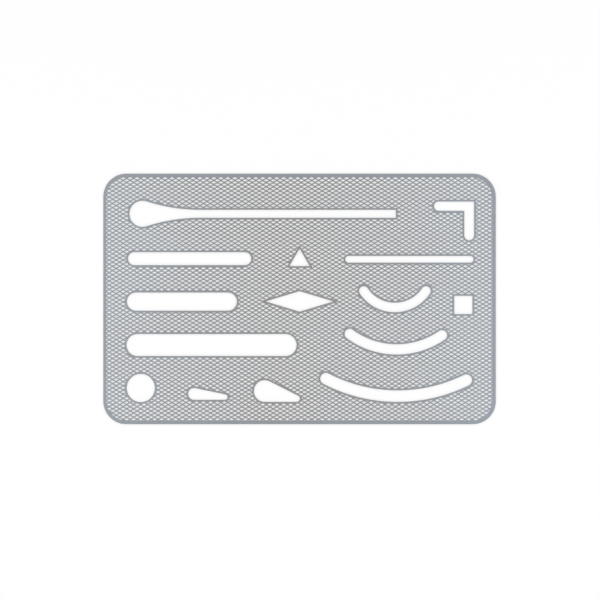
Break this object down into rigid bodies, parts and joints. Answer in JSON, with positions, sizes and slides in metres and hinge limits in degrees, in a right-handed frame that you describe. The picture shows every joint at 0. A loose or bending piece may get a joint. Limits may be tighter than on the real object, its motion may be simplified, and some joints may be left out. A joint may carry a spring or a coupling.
{
  "type": "erasing shield",
  "caption": "Thin etched metal sheet with drafting openings to rub through: slots, arcs, drops, a keyhole, an angle and plain shapes.",
  "frame": {"origin": "middle of the underside of the sheet", "axes": "+X along the long side, to the right as the openings are read, +Y along the short side, up the face, +Z out of the face"},
  "size_m": [0.094, 0.06, 0.0002],
  "materials": {
    "stainless_steel": "satin etched sheet, cool grey, finely pierced"
  },
  "bodies": {
    "root": {"shield_plate": "stainless_steel"}
  },
  "joints": []
}
